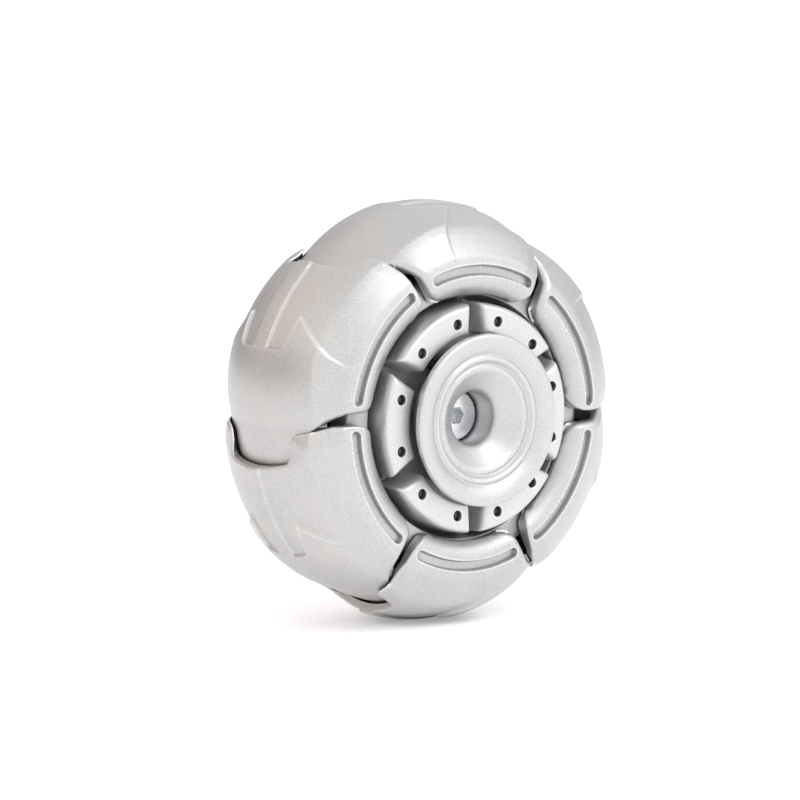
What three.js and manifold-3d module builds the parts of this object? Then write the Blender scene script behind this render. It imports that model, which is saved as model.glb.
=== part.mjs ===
// Fidget spinner wheel: a bearing hub between two thumb buttons, a wheel body with
// twelve pin bridges, and six overlapping shells that swing open on pivot pins.
// Millimetres. The wheel's axis is Y, its front faces -Y, +Z is up, and the origin
// is the wheel's centre.

import * as THREE from 'three';
import { mergeVertices } from 'three/addons/utils/BufferGeometryUtils.js';
import Module from 'manifold-3d';

const wasm = await Module();
wasm.setup();

// ---- driving dimensions ----------------------------------------------------

const SHELLS = 6;
const PITCH = 360 / SHELLS; // degrees from one shell to the next
const GAP = 0.3; // clearance between neighbouring parts

const CROWN = 0.035; // tread crown: radius lost per square millimetre of |y|
const TREAD_LOW = 24.55; // tread radius on the horn side, at y = 0
const TREAD_HIGH = 25.0; // tread radius on the raised tail side, at y = 0
const TREAD_TAIL = 23.5; // tread radius where a tail goes under the next horns
const TAIL_TIP = 23.2; // tread radius at the tip of the tail's tongue
const TAIL_FALL_FROM = 34; // degrees from the seam where the tail begins to fall
const TIP_ANGLE = 72.5; // degrees from the seam to the tip of the tail's tongue

const PIN_CIRCLE = 11.5;
const PIN_OFFSET = 15; // degrees from a seam to the pins on either side
const PIN_RADIUS = 0.42;
const PIN_HOLE = 0.56;
const SWING = 14; // degrees that a shell swings open

const BUTTON_RADIUS = 10;
const BUTTON_FACE = 13.35; // |y| of a button's rim
const BUTTON_BACK = 12.2; // |y| of the back of a button's cap
const NECK_RADIUS = 7.9;
const BORE_RADIUS = 3.1;
const BORE_SHELF = 5.2; // |y| of the shelf under the axle screw's head
const STEM_RADIUS = 4.0;

const RACE_HALF_WIDTH = 2.38;
const RACE_BORE = 3.175;
const RACE_OUTER = 6.35;
const INNER_LAND = 4.15; // outer radius of the inner race
const OUTER_LAND = 5.35; // inner radius of the outer race
const BALL_CIRCLE = 4.75;
const BALL_RADIUS = 0.62;
const BALLS = 10;

const BRIDGE_FACE = 11.35; // |y| of a bridge's face
const BRIDGE_BASE = 7.9; // |y| of a bridge's foot
const FRAME_FACE = 7.6;
const FRAME_BACK = 5.3;
const RIM_FACE = 9.0;
const CARRIER_RADIUS = 8.3;
const CARRIER_WAIST = 7.1; // radius of the carrier between its two flanges
const FLANGE_FOOT = 3.4; // |y| where a flange meets the waist

// ---- materials -------------------------------------------------------------

function metal(color, roughness, metalness) {
  return new THREE.MeshStandardMaterial({ color, roughness, metalness });
}

const SATIN_SILVER = metal(0xc9c7c6, 0.42, 0.9);
const TURNED_SILVER = metal(0xd2d1d0, 0.34, 0.9);
const DARK_PIN = metal(0x3a3b3e, 0.5, 0.8);
const BEARING_STEEL = metal(0xb8babd, 0.22, 1.0);
const MAGNET_NICKEL = metal(0x9a9b9e, 0.3, 1.0);

// ---- helpers ---------------------------------------------------------------

const group = new THREE.Group();

function addPart(name, geometry, material) {
  const mesh = new THREE.Mesh(geometry, material);
  mesh.name = name;
  group.add(mesh);
}

function bare(geometry) {
  geometry.deleteAttribute('normal');
  geometry.deleteAttribute('uv');
  return mergeVertices(geometry, 1e-5);
}

function toSolid(geometry) {
  const merged = bare(geometry.clone());
  const vertProperties = new Float32Array(merged.attributes.position.array);
  const triVerts = new Uint32Array(merged.index.array);
  return new wasm.Manifold(new wasm.Mesh({ numProp: 3, vertProperties, triVerts }));
}

function toGeometry(solid) {
  const mesh = solid.getMesh();
  const geometry = new THREE.BufferGeometry();
  geometry.setAttribute('position', new THREE.BufferAttribute(mesh.vertProperties, 3));
  geometry.setIndex(new THREE.BufferAttribute(mesh.triVerts, 1));
  geometry.computeVertexNormals();
  return geometry;
}

// A point at a radius and an angle in degrees round the wheel's axis.
function polar(radius, degrees, y = 0) {
  const angle = THREE.MathUtils.degToRad(degrees);
  return new THREE.Vector3(radius * Math.cos(angle), y, radius * Math.sin(angle));
}

// A ring turned round the Y axis from a closed outline of [radius, y] points.
function turned(outline, segments = 36) {
  const points = outline.map(([radius, y]) => new THREE.Vector2(radius, y));
  if (THREE.ShapeUtils.area(points) < 0) points.reverse();
  points.push(points[0].clone());
  return new THREE.LatheGeometry(points, segments);
}

function mirrorOutline(outline) {
  return outline.map(([radius, y]) => [radius, -y]);
}

// A round bar along Y between two values of y, its centre at a point in the XZ plane.
function bar(centre, radius, yFrom, yTo, sides = 16) {
  const geometry = new THREE.CylinderGeometry(radius, radius, yTo - yFrom, sides);
  geometry.translate(centre.x, (yFrom + yTo) / 2, centre.z);
  return geometry;
}

// A solid through a list of closed loops of the same number of points.
function loft(loops) {
  const count = loops[0].length;
  const positions = loops.flat().flatMap((p) => [p.x, p.y, p.z]);
  const index = [];
  for (let k = 0; k + 1 < loops.length; k += 1) {
    for (let i = 0; i < count; i += 1) {
      const a = k * count + i;
      const b = k * count + ((i + 1) % count);
      index.push(a, b, a + count, b, b + count, a + count);
    }
  }
  const flat = loops[0].map((p) => new THREE.Vector2(p.x, p.z));
  const last = (loops.length - 1) * count;
  for (const [a, b, c] of THREE.ShapeUtils.triangulateShape(flat, [])) {
    index.push(a, c, b, last + a, last + b, last + c);
  }
  const geometry = new THREE.BufferGeometry();
  geometry.setAttribute('position', new THREE.Float32BufferAttribute(positions, 3));
  geometry.setIndex(index);
  return geometry;
}

// Straight-line interpolation through [x, value] pairs.
function along(pairs, x) {
  if (x <= pairs[0][0]) return pairs[0][1];
  for (let i = 1; i < pairs.length; i += 1) {
    const [x0, v0] = pairs[i - 1];
    const [x1, v1] = pairs[i];
    if (x <= x1) return v0 + ((v1 - v0) * (x - x0)) / (x1 - x0);
  }
  return pairs[pairs.length - 1][1];
}

// ---- hub: buttons, axle and screws ------------------------------------------

function buttonOutline() {
  return [
    [BORE_RADIUS, 10.5],
    [3.5, 10.8],
    [5.1, 12.0],
    [5.8, 12.5],
    [6.45, 12.45],
    [7.0, 12.9],
    [7.6, 12.8],
    [8.5, BUTTON_FACE],
    [9.5, BUTTON_FACE],
    [BUTTON_RADIUS, 12.95],
    [BUTTON_RADIUS, 12.5],
    [9.5, BUTTON_BACK],
    [NECK_RADIUS, BUTTON_BACK],
    [NECK_RADIUS, 9.3],
    [STEM_RADIUS, 9.3],
    [STEM_RADIUS, RACE_HALF_WIDTH + GAP],
    [1.7, RACE_HALF_WIDTH + GAP],
    [1.7, BORE_SHELF],
    [BORE_RADIUS, BORE_SHELF],
  ];
}

function axleScrew() {
  const headTop = 7.25;
  const headFoot = BORE_SHELF + GAP;
  const shankEnd = 0.4;
  const blank = toSolid(turned([
    [0, headTop], [2.45, headTop], [2.75, headTop - 0.3], [2.75, headFoot],
    [1.3, headFoot], [1.3, shankEnd], [0, shankEnd],
  ], 24));
  const socket = toSolid(bar(polar(0, 0), 1.0, headTop - 0.8, headTop + 1, 6));
  return toGeometry(blank.subtract(socket));
}

// The same piece on the wheel's other side, turned over about X.
function mirrored(geometry) {
  return geometry.clone().rotateX(Math.PI);
}

function addHub() {
  addPart('front_button', turned(mirrorOutline(buttonOutline())), TURNED_SILVER);
  addPart('rear_button', turned(buttonOutline()), TURNED_SILVER);
  addPart('front_axle_screw', mirrored(axleScrew()), BEARING_STEEL);
  addPart('rear_axle_screw', axleScrew(), BEARING_STEEL);
  const sleeveRadius = RACE_BORE - 0.2;
  addPart('axle_sleeve', turned([
    [1.6, -RACE_HALF_WIDTH], [sleeveRadius, -RACE_HALF_WIDTH],
    [sleeveRadius, RACE_HALF_WIDTH], [1.6, RACE_HALF_WIDTH],
  ], 24), BEARING_STEEL);
}

// ---- bearing -----------------------------------------------------------------

function raceOutline(seat, land, floor) {
  const half = RACE_HALF_WIDTH;
  return [
    [seat, -half], [land, -half], [land, -0.85], [(land + floor) / 2, -0.55], [floor, 0],
    [(land + floor) / 2, 0.55], [land, 0.85], [land, half], [seat, half],
  ];
}

function bearingCage() {
  const ringInner = BALL_CIRCLE - 0.3;
  const ringOuter = BALL_CIRCLE + 0.3;
  let cage = toSolid(turned([
    [ringInner, -0.9], [ringOuter, -0.9], [ringOuter, 0.9], [ringInner, 0.9],
  ], 30));
  for (let i = 0; i < BALLS; i += 1) {
    const centre = polar(BALL_CIRCLE, (360 * i) / BALLS);
    const ball = new THREE.SphereGeometry(BALL_RADIUS, 8, 5);
    ball.translate(centre.x, centre.y, centre.z);
    cage = cage.add(toSolid(ball));
  }
  return toGeometry(cage);
}

function addBearing() {
  const trackDepth = 0.23;
  const inner = raceOutline(RACE_BORE, INNER_LAND, INNER_LAND - trackDepth);
  const outer = raceOutline(RACE_OUTER, OUTER_LAND, OUTER_LAND + trackDepth);
  addPart('bearing_inner_race', turned(inner, 28), BEARING_STEEL);
  addPart('bearing_outer_race', turned(outer, 28), BEARING_STEEL);
  addPart('bearing_cage', bearingCage(), BEARING_STEEL);
  const shieldInner = INNER_LAND + 0.2;
  const shieldOuter = OUTER_LAND - 0.15;
  const shield = [[shieldInner, 1.9], [shieldOuter, 1.9], [shieldOuter, 2.1], [shieldInner, 2.1]];
  addPart('front_shield', turned(mirrorOutline(shield), 24), BEARING_STEEL);
  addPart('rear_shield', turned(shield, 24), BEARING_STEEL);
}

// ---- wheel body: carrier, frames, screws, bridges and pins --------------------

const SCREW_CIRCLE = 7.45;
const SCREWS_PER_SIDE = 3;

function screwSpot(i, side) {
  return polar(SCREW_CIRCLE, (360 * i) / SCREWS_PER_SIDE + (side > 0 ? 60 : 0));
}

function pinSpot(seam, side) {
  return polar(PIN_CIRCLE, seam * PITCH + side * PIN_OFFSET);
}

// A tapped blind hole in the carrier's end for each frame screw on that side.
function carrier() {
  const seat = RACE_OUTER + 0.2;
  const end = FRAME_BACK - GAP;
  let body = toSolid(turned([
    [seat, -end], [CARRIER_RADIUS, -end], [CARRIER_RADIUS, -FLANGE_FOOT], [CARRIER_WAIST, -FLANGE_FOOT],
    [CARRIER_WAIST, FLANGE_FOOT], [CARRIER_RADIUS, FLANGE_FOOT], [CARRIER_RADIUS, end], [seat, end],
  ]));
  const holeRadius = 0.6;
  const holeFoot = FLANGE_FOOT + 0.2;
  for (let i = 0; i < SCREWS_PER_SIDE; i += 1) {
    body = body.subtract(toSolid(bar(screwSpot(i, -1), holeRadius, -end - 1, -holeFoot, 10)));
    body = body.subtract(toSolid(bar(screwSpot(i, 1), holeRadius, holeFoot, end + 1, 10)));
  }
  return toGeometry(body);
}

// The front side plate: a disc with the rim ring that the shells' lips close over.
function frontFrame() {
  let plate = toSolid(turned([
    [6.2, -FRAME_FACE], [14.1, -FRAME_FACE], [14.3, -RIM_FACE],
    [16.6, -RIM_FACE], [17.0, -RIM_FACE + 0.4], [17.0, -FRAME_BACK], [6.2, -FRAME_BACK],
  ], 48));
  for (let i = 0; i < SCREWS_PER_SIDE; i += 1) {
    plate = plate.subtract(toSolid(bar(screwSpot(i, -1), 0.65, -FRAME_FACE - 1, -FRAME_BACK + 1, 10)));
  }
  for (let seam = 0; seam < SHELLS; seam += 1) {
    for (const side of [-1, 1]) {
      const hole = bar(pinSpot(seam, side), PIN_HOLE, -FRAME_FACE - 1, -FRAME_BACK + 1, 10);
      plate = plate.subtract(toSolid(hole));
    }
  }
  return toGeometry(plate);
}

function frameScrew(i, side) {
  const top = FRAME_FACE + 1.0;
  const foot = FRAME_FACE + 0.1;
  const tip = FRAME_BACK - GAP - 1.2;
  const outline = [[0, top], [0.85, top], [0.85, foot], [0.45, foot], [0.45, tip], [0, tip]];
  const screw = turned(side < 0 ? mirrorOutline(outline) : outline, 10);
  const spot = screwSpot(i, side);
  screw.translate(spot.x, 0, spot.z);
  return screw;
}

// A bridge's outline at one depth: an arc block whose ends splay out towards its foot.
function bridgeLoop(y, inner, outer, innerHalf, outerHalf) {
  const steps = 6;
  const loop = [];
  for (let k = 0; k <= steps; k += 1) {
    loop.push(polar(outer, outerHalf * ((2 * k) / steps - 1), y));
  }
  for (let k = steps; k >= 0; k -= 1) {
    loop.push(polar(inner, innerHalf * ((2 * k) / steps - 1), y));
  }
  return loop;
}

function frontBridge() {
  const inner = 9.95;
  let block = toSolid(loft([
    bridgeLoop(-BRIDGE_BASE, inner, 13.75, 25.5, 28.2),
    bridgeLoop(-BRIDGE_FACE + 0.4, inner, 13.1, 22.8, 25),
    bridgeLoop(-BRIDGE_FACE, inner + 0.1, 12.95, 22, 24.2),
  ]));
  for (const side of [-1, 1]) {
    const hole = bar(pinSpot(0, side), PIN_HOLE, -BRIDGE_FACE - 1, -BRIDGE_BASE + 1, 14);
    block = block.subtract(toSolid(hole));
  }
  return toGeometry(block);
}

function addWheelBody() {
  addPart('carrier', carrier(), SATIN_SILVER);
  const magnetEnd = FLANGE_FOOT - GAP;
  const magnetInner = CARRIER_WAIST + 0.25;
  const magnetOuter = CARRIER_RADIUS - 0.1;
  addPart('magnet_ring', turned([
    [magnetInner, -magnetEnd], [magnetOuter, -magnetEnd],
    [magnetOuter, magnetEnd], [magnetInner, magnetEnd],
  ]), MAGNET_NICKEL);
  const frame = frontFrame();
  addPart('front_frame', frame, SATIN_SILVER);
  const onePitch = THREE.MathUtils.degToRad(PITCH);
  addPart('rear_frame', mirrored(frame).rotateY(onePitch), SATIN_SILVER);
  for (let i = 0; i < SCREWS_PER_SIDE; i += 1) {
    addPart(`front_frame_screw_${i + 1}`, frameScrew(i, -1), DARK_PIN);
    addPart(`rear_frame_screw_${i + 1}`, frameScrew(i, 1), DARK_PIN);
  }
  const bridge = frontBridge();
  const rearBridge = mirrored(bridge);
  const pinEnd = BRIDGE_FACE - 0.5;
  for (let seam = 0; seam < SHELLS; seam += 1) {
    const turn = -THREE.MathUtils.degToRad(seam * PITCH);
    addPart(`front_bridge_${seam + 1}`, bridge.clone().rotateY(turn), SATIN_SILVER);
    addPart(`rear_bridge_${seam + 1}`, rearBridge.clone().rotateY(turn), SATIN_SILVER);
    const stop = bar(pinSpot(seam, 1), PIN_RADIUS, -pinEnd, pinEnd, 12);
    const pivot = bar(pinSpot(seam + 1, -1), PIN_RADIUS, -pinEnd, pinEnd, 12);
    addPart(`stop_pin_${seam + 1}`, stop, DARK_PIN);
    addPart(`pivot_pin_${seam + 1}`, pivot, DARK_PIN);
  }
}

// ---- shells --------------------------------------------------------------------
// A shell's angles are measured from its clockwise seam. Its two horns are at that
// end, over the neighbour's tail, with a notch between them. Its own tail goes under
// the next shell's horns, with a tongue that fills the next shell's notch.

// The stations across one half of a shell, from the lip of its face to the tread's
// middle line. follow is the share of the tread's rise and fall that the face takes.
const FACE = [
  { outer: [14.35, 9.9], inner: [14.35, 9.35], horn: 3.6, tail: 53.0, follow: 0 },
  { outer: [15.3, 10.65], inner: [15.2, 9.35], horn: 1.0, tail: 53.4, follow: 0 },
  { outer: [16.7, 10.95], inner: [16.4, 9.35], horn: -1.0, tail: 53.8, follow: 0 },
  { outer: [16.9, 10.35], inner: [16.8, 9.35], horn: -1.2, tail: 54.0, follow: 0 },
  { outer: [17.65, 10.35], inner: [17.3, 9.35], horn: -1.3, tail: 54.3, follow: 0 },
  { outer: [17.85, 10.95], inner: [17.8, 9.35], horn: -1.3, tail: 54.4, follow: 0 },
  { outer: [18.9, 10.7], inner: [18.7, 9.25], horn: -1.3, tail: 55.0, follow: 0.1 },
  { outer: [20.15, 9.9], inner: [19.6, 8.8], horn: -1.0, tail: 56.6, follow: 0.5 },
  { outer: [21.3, 9.0], inner: [20.4, 8.1], horn: 0.2, tail: 58.4, follow: 0.9 },
];

// Where the tread's rows run, and how far the horns and the tail reach at each.
const TREAD_ROWS = [
  { y: 8.2, horn: 1.2, tail: 60.0, step: 35.5 },
  { y: 7.2, horn: 1.4, tail: 63, step: 33.4 },
  { y: 6.1, horn: 2.6, tail: 63, step: 31.1 },
  { y: 5.85, horn: 9.0, tail: 63, step: 30.6 },
  { y: 5.5, horn: 10.0, tail: TIP_ANGLE, step: 29.9 },
  { y: 4.45, horn: 10.8, tail: TIP_ANGLE, step: 28 },
  { y: 4.15, horn: 10.9, tail: TIP_ANGLE, step: 38 },
  { y: 3.0, horn: 11.2, tail: TIP_ANGLE, step: 38.7 },
  { y: 0, horn: 11.5, tail: TIP_ANGLE, step: 38.7 },
];

const FACE_STEP = 38; // degrees from the seam to the raised part, on the face
const EDGE_BAND = 3; // degrees of rounding at a shell's horn end
const EDGE_DROP = 0.3; // how far that rounding falls

// The tread's outer radius at the middle line, on the raised side of the step.
function raisedRadius(angle) {
  if (angle > PITCH) {
    const share = (angle - PITCH) / (TIP_ANGLE - PITCH);
    return TREAD_TAIL + (TAIL_TIP - TREAD_TAIL) * share;
  }
  const share = Math.max(0, (angle - TAIL_FALL_FROM) / (PITCH - TAIL_FALL_FROM));
  return TREAD_HIGH + (TREAD_TAIL - TREAD_HIGH) * share ** 1.8;
}

// The tread's inner radius at the middle line: thin over the neighbour's tail.
function innerRadius(angle) {
  return along([[1, 23.8], [12.5, 23.55], [17, 22.8], [45, 22.5], [60, 22.3], [TIP_ANGLE, 22.2]], angle);
}

// The angles of one row's columns, and on which side of the step each one lies.
function columns(horn, tail, step) {
  const span = tail - step;
  return [
    { angle: horn, raised: false, drop: EDGE_DROP },
    { angle: horn + EDGE_BAND, raised: false, drop: 0 },
    { angle: (horn + EDGE_BAND + step) / 2, raised: false, drop: 0 },
    { angle: step, raised: false, drop: 0 },
    { angle: step + 1, raised: true, drop: 0 },
    { angle: step + span * 0.36, raised: true, drop: 0 },
    { angle: step + span * 0.7, raised: true, drop: 0 },
    { angle: tail, raised: true, drop: 0 },
  ];
}

function treadRow({ y, horn, tail, step }, sign) {
  const crown = CROWN * y * y;
  return columns(horn, tail, step).map(({ angle, raised, drop }) => ({
    outer: polar((raised ? raisedRadius(angle) : TREAD_LOW - drop) - crown, angle, sign * y),
    inner: polar(innerRadius(angle) - crown, angle, sign * y),
  }));
}

function faceRow({ outer, inner, horn, tail, follow }, sign) {
  return columns(horn, tail, FACE_STEP).map(({ angle, raised, drop }) => {
    const rise = (raised ? raisedRadius(angle) - TREAD_LOW : -drop) * follow;
    const lift = Math.min(0, rise);
    return {
      outer: polar(outer[0] + rise, angle, sign * outer[1]),
      inner: polar(inner[0] + lift, angle, sign * inner[1]),
    };
  });
}

// The skin: an outer and an inner sheet over the same rows and columns, closed by
// a strip round their edge.
function shellSkin() {
  const rows = [];
  FACE.forEach((station) => rows.push(faceRow(station, -1)));
  TREAD_ROWS.forEach((row) => rows.push(treadRow(row, -1)));
  TREAD_ROWS.slice(0, -1).reverse().forEach((row) => rows.push(treadRow(row, 1)));
  FACE.slice().reverse().forEach((station) => rows.push(faceRow(station, 1)));
  const height = rows.length;
  const width = rows[0].length;
  const sheet = height * width;
  const positions = [];
  for (const side of ['outer', 'inner']) {
    rows.flat().forEach((place) => positions.push(place[side].x, place[side].y, place[side].z));
  }
  const index = [];
  const quad = (a, b, c, d) => index.push(a, b, c, a, c, d);
  const at = (row, column) => row * width + column;
  for (let r = 0; r + 1 < height; r += 1) {
    for (let c = 0; c + 1 < width; c += 1) {
      const corners = [at(r, c), at(r, c + 1), at(r + 1, c + 1), at(r + 1, c)];
      quad(...corners.slice().reverse());
      quad(...corners.map((corner) => corner + sheet));
    }
    quad(at(r, 0), at(r, 0) + sheet, at(r + 1, 0) + sheet, at(r + 1, 0));
    const last = width - 1;
    quad(at(r + 1, last), at(r + 1, last) + sheet, at(r, last) + sheet, at(r, last));
  }
  for (let c = 0; c + 1 < width; c += 1) {
    quad(at(0, c + 1), at(0, c + 1) + sheet, at(0, c) + sheet, at(0, c));
    const end = height - 1;
    quad(at(end, c), at(end, c) + sheet, at(end, c + 1) + sheet, at(end, c + 1));
  }
  const geometry = new THREE.BufferGeometry();
  geometry.setAttribute('position', new THREE.Float32BufferAttribute(positions, 3));
  geometry.setIndex(index);
  return geometry;
}

const WEB_HALF = 3.6; // |y| of the web's faces
const MAGNET_SPOT = polar(12.6, 30);
const MAGNET_RADIUS = 1.3;

// The web: a plate inside the shell with the pivot's lug and the stop's arc slot.
function shellWeb() {
  const outline = [
    [8.75, 9], [8.7, 15], [9.3, 22], [9.9, 32], [10.1, 45], [10.8, 52], [13, 52.5], [17, 51],
    [22.8, 54], [22.9, 45], [22.95, 35], [23.1, 25], [23.2, 18.5], [17, 13], [12.6, 8.5], [11, 6.5],
  ];
  const shape = new THREE.Shape(outline.map(([radius, angle]) => {
    const spot = polar(radius, angle);
    return new THREE.Vector2(spot.x, spot.z);
  }));
  const plate = new THREE.ExtrudeGeometry(shape, { depth: 2 * WEB_HALF, bevelEnabled: false });
  plate.rotateX(Math.PI / 2);
  plate.translate(0, WEB_HALF, 0);
  let web = toSolid(plate);
  const pivot = pinSpot(1, -1);
  const stop = pinSpot(0, 1);
  const reach = WEB_HALF + 1;
  web = web.subtract(toSolid(bar(pivot, PIN_HOLE + 0.04, -reach, reach, 14)));
  web = web.subtract(toSolid(bar(MAGNET_SPOT, MAGNET_RADIUS + 0.2, -reach, reach, 16)));
  const slotSteps = 7;
  for (let k = 0; k <= slotSteps; k += 1) {
    const turn = THREE.MathUtils.degToRad((k / slotSteps) * (SWING + 1));
    const arm = stop.clone().sub(pivot).applyAxisAngle(new THREE.Vector3(0, 1, 0), turn);
    web = web.subtract(toSolid(bar(pivot.clone().add(arm), PIN_HOLE + 0.06, -reach, reach, 12)));
  }
  return web;
}

function addShells() {
  const shell = toGeometry(toSolid(shellSkin()).add(shellWeb()));
  const magnet = bar(MAGNET_SPOT, MAGNET_RADIUS, -WEB_HALF + 0.2, WEB_HALF - 0.2, 16);
  for (let i = 0; i < SHELLS; i += 1) {
    const turn = -THREE.MathUtils.degToRad(i * PITCH);
    addPart(`shell_${i + 1}`, shell.clone().rotateY(turn), SATIN_SILVER);
    addPart(`shell_magnet_${i + 1}`, magnet.clone().rotateY(turn), MAGNET_NICKEL);
  }
}

addHub();
addBearing();
addWheelBody();
addShells();

export default group;
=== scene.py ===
"""Looks for the fidget spinner wheel: shells, buttons, bridges and hub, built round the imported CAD.

Sizes below are millimetres and degrees. The wheel's axis is Y and its front faces -Y. An angle
round the wheel runs from +X towards +Z, and a shell's own angles start at its clockwise seam.
"""

import math

import bmesh
import bpy
import numpy as np
from mathutils import Matrix, Vector
from mathutils.geometry import delaunay_2d_cdt


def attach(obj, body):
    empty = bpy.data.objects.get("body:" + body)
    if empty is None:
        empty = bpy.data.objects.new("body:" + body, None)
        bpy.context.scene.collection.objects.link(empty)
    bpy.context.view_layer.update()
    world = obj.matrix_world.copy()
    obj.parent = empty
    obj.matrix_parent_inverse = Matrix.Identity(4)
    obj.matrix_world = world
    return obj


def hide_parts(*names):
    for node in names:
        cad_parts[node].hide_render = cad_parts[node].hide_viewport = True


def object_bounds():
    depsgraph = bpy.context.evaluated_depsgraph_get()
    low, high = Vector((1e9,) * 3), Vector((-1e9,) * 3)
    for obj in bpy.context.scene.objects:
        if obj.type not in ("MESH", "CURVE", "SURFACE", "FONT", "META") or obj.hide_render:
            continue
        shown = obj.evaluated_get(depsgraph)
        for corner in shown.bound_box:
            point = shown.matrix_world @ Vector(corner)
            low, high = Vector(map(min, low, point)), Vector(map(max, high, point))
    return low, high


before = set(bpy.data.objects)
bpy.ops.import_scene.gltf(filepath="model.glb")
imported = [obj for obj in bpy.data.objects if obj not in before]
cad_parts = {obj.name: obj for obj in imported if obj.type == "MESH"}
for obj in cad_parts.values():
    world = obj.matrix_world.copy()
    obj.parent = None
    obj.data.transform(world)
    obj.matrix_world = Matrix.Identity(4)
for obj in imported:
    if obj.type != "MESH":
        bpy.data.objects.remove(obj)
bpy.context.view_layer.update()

MM = 0.001
SHELLS = 6
PITCH = 360 / SHELLS

# ---- sizes that the CAD solids also have -------------------------------------------------

CROWN = 0.035  # tread crown: radius lost per square millimetre of |y|
TREAD_LOW = 24.55  # tread radius on the horn side, at y = 0
TREAD_HIGH = 25.0  # tread radius on the raised tail side, at y = 0
TREAD_TAIL = 23.5  # tread radius where a tail goes under the next horns
TAIL_TIP = 23.2  # tread radius at the tip of the tail's tongue
TAIL_FALL_FROM = 34  # angle where the tail begins to fall
TIP_ANGLE = 72.5  # angle of the tip of the tail's tongue
PIN_CIRCLE = 11.5
PIN_OFFSET = 15  # angle from a seam to the pins on either side
PIN_RADIUS = 0.42
SWING = 14  # angle that a shell swings open
WEB_HALF = 3.6  # |y| of a web's sides
MAGNET_CIRCLE = 12.6
MAGNET_ANGLE = 30
MAGNET_RADIUS = 1.3
BEARING_HALF = 2.38  # |y| of the bearing's sides
BRIDGE_FACE = 11.35  # |y| of a bridge's face
BRIDGE_BASE = 7.9  # |y| of a bridge's foot
FRAME_FACE = 7.6
FRAME_BACK = 5.3
RIM_FACE = 9.0
SCREW_CIRCLE = 7.45
SCREWS_PER_SIDE = 3
BALLS = 10

# ---- sizes that only the looks have --------------------------------------------------------

PIN_HOLE = 0.6  # radius, a little over the CAD's
SLOT_PLAY = 0.05  # what the web's pivot hole and slot have over the pin holes
SCREW_HOLE = 0.65
MAGNET_SEAT = 1.5
BRIDGE_INNER, BRIDGE_OUTER = 9.95, 13.05  # radii of a bridge's sides at its face
BRIDGE_INNER_HALF, BRIDGE_OUTER_HALF = 21.9, 24.3  # half of the angle that each side takes there
BRIDGE_FLARE = (0.75, 4.0, 5.1)  # what outer radius and both half angles gain at the foot

# ---- small geometry helpers ---------------------------------------------------------------


def polar(radius, degrees, y=0.0):
    """Points at a radius and an angle round the wheel's axis, as an array of x, y, z."""
    angle = np.radians(degrees)
    radius, angle, y = np.broadcast_arrays(radius, angle, y)
    return np.stack([radius * np.cos(angle), y, radius * np.sin(angle)], axis=-1)


def soften(outline, steps=5, closed=True):
    """A dense outline from (a, b, cut) corners, each rounded over cut millimetres either way."""
    dense = []
    count = len(outline)
    for i, (a, b, cut) in enumerate(outline):
        here = np.array((a, b), float)
        if cut == 0 or (not closed and i in (0, count - 1)):
            dense.append(here)
            continue
        before = np.array(outline[i - 1][:2]) - here
        after = np.array(outline[(i + 1) % count][:2]) - here
        start = here + before * min(cut / np.linalg.norm(before), 0.48)
        end = here + after * min(cut / np.linalg.norm(after), 0.48)
        for t in np.linspace(0, 1, steps + 1):
            dense.append((1 - t) ** 2 * start + 2 * t * (1 - t) * here + t * t * end)
    return np.array(dense)


def flat_spot(radius, degrees):
    """x and z at a radius and an angle round the wheel's axis."""
    x, _, z = polar(radius, degrees)
    return x, z


def at_depth(flat, y):
    """A flat outline of x and z, as points at one y."""
    return np.stack([flat[:, 0], np.full(len(flat), y), flat[:, 1]], axis=-1)


def smooth_step(x):
    x = np.clip(x, 0, 1)
    return x * x * (3 - 2 * x)


def mirror(points):
    """The same points on the wheel's other side, turned over about X."""
    return np.asarray(points) * (1, -1, -1)


def turned(outline, segments, centre=(0.0, 0.0)):
    """Vertices and faces of a ring turned round Y from a closed outline of radius and y."""
    outline = np.asarray(outline)
    count = len(outline)
    angles = 360 * np.arange(segments) / segments
    rings = polar(outline[None, :, 0], angles[:, None], outline[None, :, 1])
    points = rings.reshape(-1, 3) + (centre[0], 0, centre[1])
    faces = []
    for i in range(segments):
        a = i * count
        b = ((i + 1) % segments) * count
        for j in range(count):
            k = (j + 1) % count
            faces.append((a + j, a + k, b + k, b + j))
    return points, faces


def lofted(loops):
    """Vertices and faces of a solid through closed loops of equal length, with flat ends."""
    count = len(loops[0])
    points = np.concatenate(loops)
    faces = []
    for level in range(len(loops) - 1):
        for i in range(count):
            k = (i + 1) % count
            a = level * count
            faces.append((a + i, a + k, a + count + k, a + count + i))
    faces.append(tuple(range(count - 1, -1, -1)))
    faces.append(tuple(range((len(loops) - 1) * count, len(loops) * count)))
    return points, faces


def place_data(name, data):
    """A new object in the scene that shows a mesh, a lamp or a camera."""
    item = bpy.data.objects.new(name, data)
    bpy.context.collection.objects.link(item)
    return item


def make_object(name, points, faces):
    """A closed mesh object from millimetre points, with its poles merged and its faces outward."""
    mesh = bpy.data.meshes.new(name)
    mesh.from_pydata((np.asarray(points) * MM).tolist(), [], faces)
    work = bmesh.new()
    work.from_mesh(mesh)
    bmesh.ops.remove_doubles(work, verts=work.verts, dist=1e-7)
    bmesh.ops.recalc_face_normals(work, faces=work.faces)
    work.to_mesh(mesh)
    work.free()
    return place_data(name, mesh)


def combine(item, tool, operation):
    """Joins or cuts a piece with a tool object, which is used up."""
    change = item.modifiers.new("cut", "BOOLEAN")
    change.object = tool
    change.operation = operation
    change.solver = "EXACT"
    graph = bpy.context.evaluated_depsgraph_get()
    result = bpy.data.meshes.new_from_object(item.evaluated_get(graph))
    item.modifiers.clear()
    item.data = result
    bpy.data.objects.remove(tool)


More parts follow.
